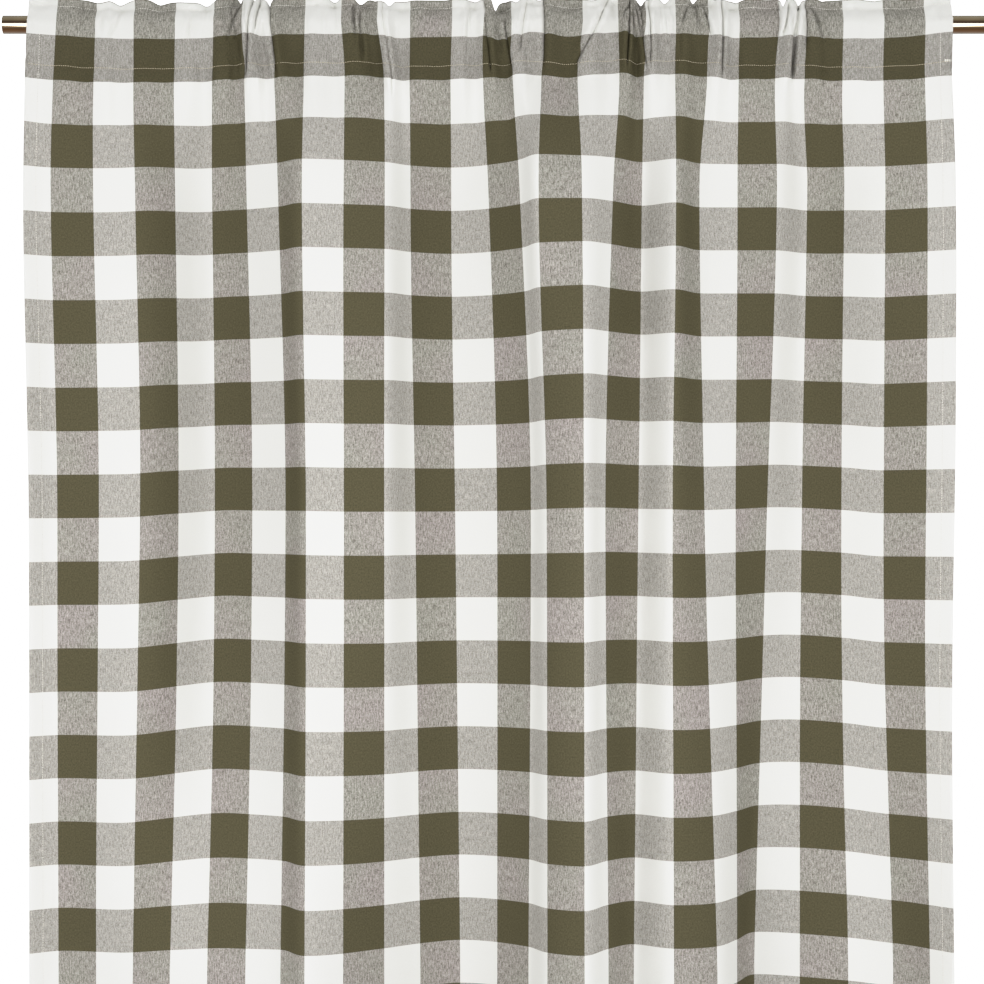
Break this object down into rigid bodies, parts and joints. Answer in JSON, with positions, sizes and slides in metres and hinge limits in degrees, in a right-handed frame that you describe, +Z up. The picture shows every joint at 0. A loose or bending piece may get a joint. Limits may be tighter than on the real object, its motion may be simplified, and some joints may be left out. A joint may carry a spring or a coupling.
{
  "type": "checked curtain on rod",
  "caption": "Full-length window curtain in a large woven check, gathered on a plain round rod by a sewn pocket with a small standing header.",
  "frame": {"origin": "middle of the rod, on its axis", "axes": "+X along the rod to the right as seen from the room, +Y from the room to the wall, +Z up"},
  "size_m": [1.216, 0.1846, 2.443],
  "materials": {
    "checked_cotton": "matt plain-woven yarn-dyed cotton, olive and white checks",
    "bronze_metal": "glossy bronze"
  },
  "bodies": {
    "root": {"curtain_panel": "checked_cotton", "curtain_rod": "bronze_metal"}
  },
  "joints": []
}
